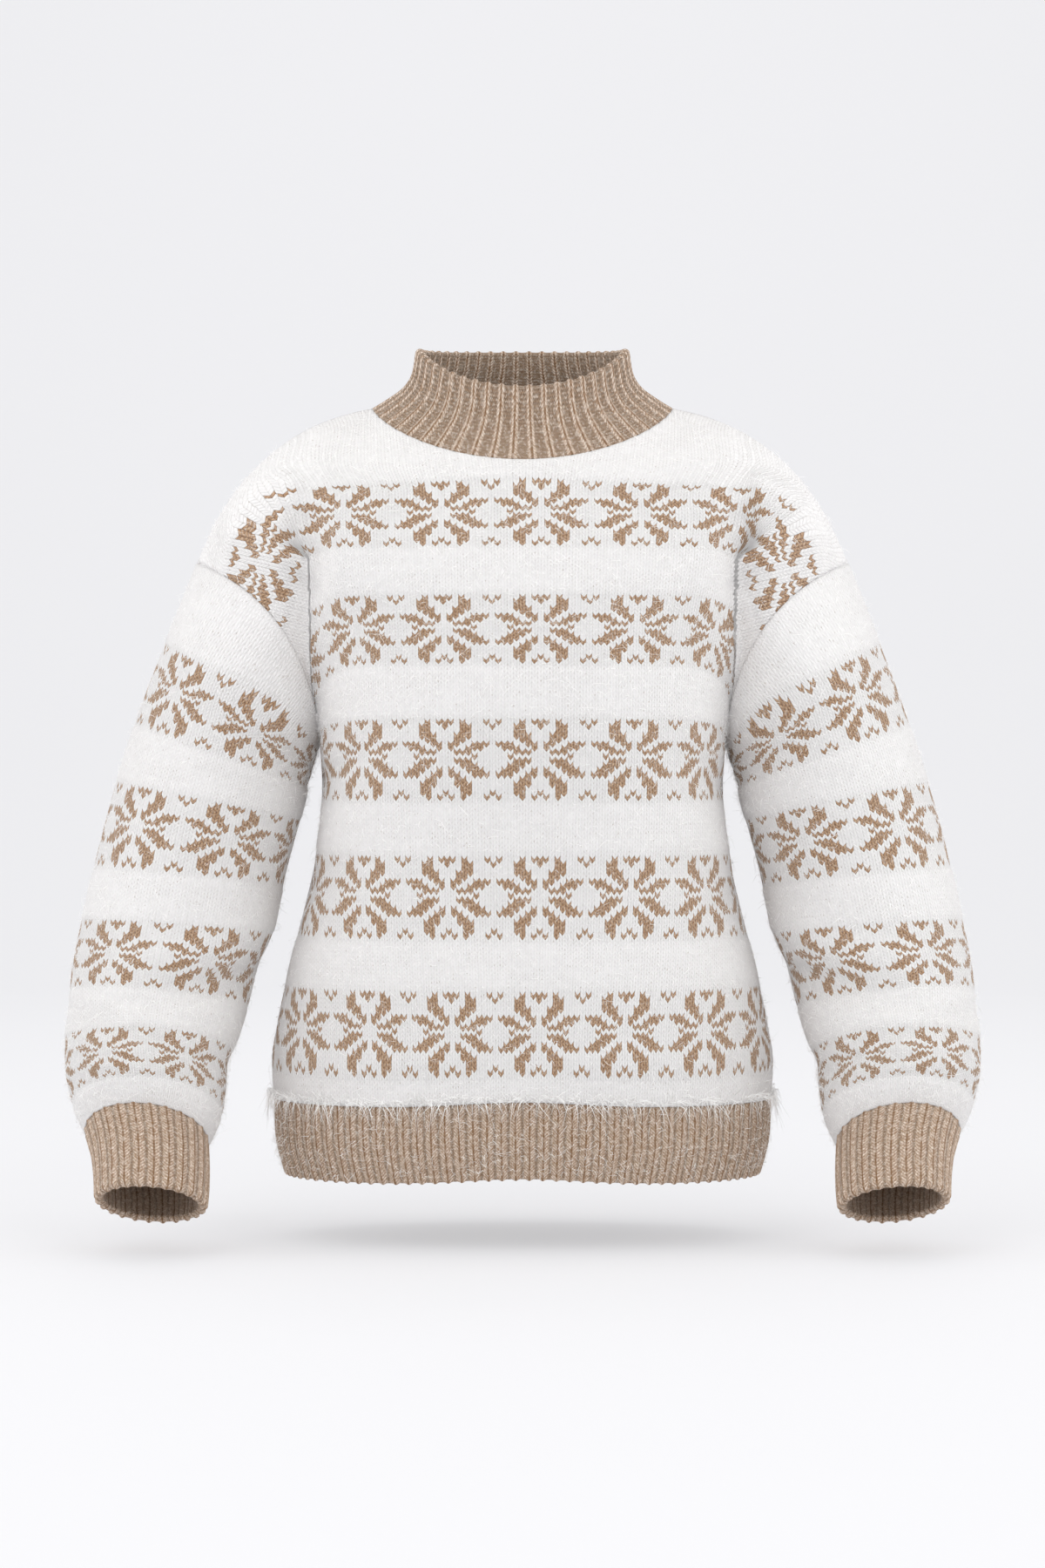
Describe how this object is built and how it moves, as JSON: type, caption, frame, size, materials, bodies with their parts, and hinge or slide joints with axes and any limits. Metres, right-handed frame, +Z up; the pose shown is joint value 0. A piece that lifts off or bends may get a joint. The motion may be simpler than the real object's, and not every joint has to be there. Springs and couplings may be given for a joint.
{
  "type": "drop shoulder christmas sweater with ribbed mock neck",
  "caption": "Loose knitted jumper with snowflake bands, drop shoulders, full sleeves and ribbed neck, cuffs and hem, hollow as when worn.",
  "frame": {"origin": "middle of the neck opening, level with the points where neck rib and shoulder seams meet, where the wearer's shoulders carry the jumper", "axes": "+X across the body, out of the picture's right sleeve; +Y out of the back, so the chest faces -Y; +Z up"},
  "size_m": [0.7224, 0.2835, 0.6923],
  "materials": {
    "white_wool": "brushed fluffy knit",
    "beige_wool": "marled rib knit"
  },
  "bodies": {
    "root": {"front_panel": "white_wool", "back_panel": "white_wool", "left_sleeve": "white_wool", "right_sleeve": "white_wool", "neck_rib": "beige_wool", "left_cuff": "beige_wool", "right_cuff": "beige_wool", "hem_front": "beige_wool", "hem_back": "beige_wool"}
  },
  "joints": []
}
